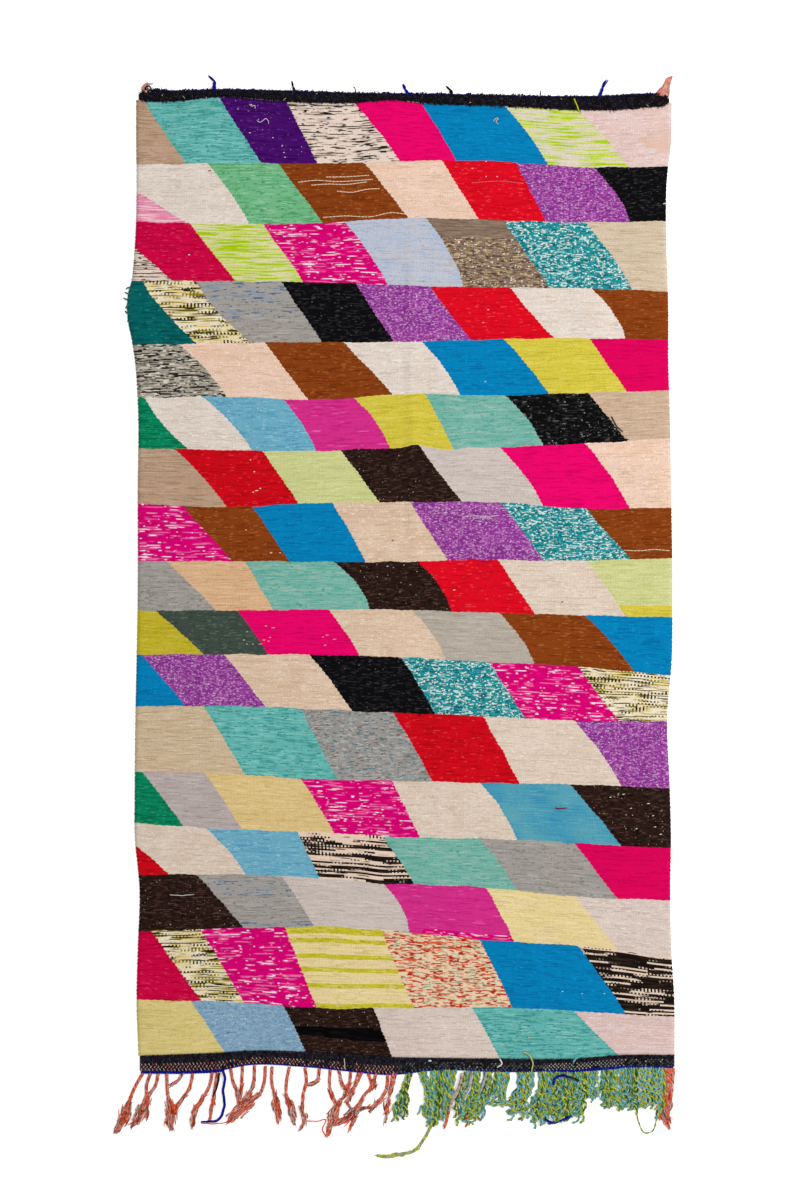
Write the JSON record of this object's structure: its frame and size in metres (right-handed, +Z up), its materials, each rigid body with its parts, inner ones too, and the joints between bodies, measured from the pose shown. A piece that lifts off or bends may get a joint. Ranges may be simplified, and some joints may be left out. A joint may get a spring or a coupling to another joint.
{
  "type": "boucherouite rug",
  "caption": "Flat-woven boucherouite rug of leaning multicoloured yarn blocks, with dark twined end bands and a coral and green knotted warp fringe along one end.",
  "frame": {"origin": "centre of the rug's bounding box, on the floor under it", "axes": "+X across the rug to the right, +Y along the warps towards the plain end, +Z up"},
  "size_m": [1.5124, 2.9202, 0.009],
  "materials": {
    "field_yarn": "weft-faced flat weave of mixed left-over yarns in many plain and flecked colours",
    "black_twine": "fuzzy black yarn twined across the warps",
    "navy_twine": "dark yarn twined across the warps in herringbone rows, with a royal blue edge",
    "coral_yarn": "loosely plied coral warp yarn, knotted and frayed",
    "green_yarn": "loosely plied warp yarn of mixed green, yellow and blue strands, tangled and frayed"
  },
  "bodies": {
    "root": {"woven_field": "field_yarn", "top_band": "black_twine", "bottom_band": "navy_twine", "coral_fringe": "coral_yarn", "green_fringe": "green_yarn", "corner_fringe": "coral_yarn"}
  },
  "joints": []
}
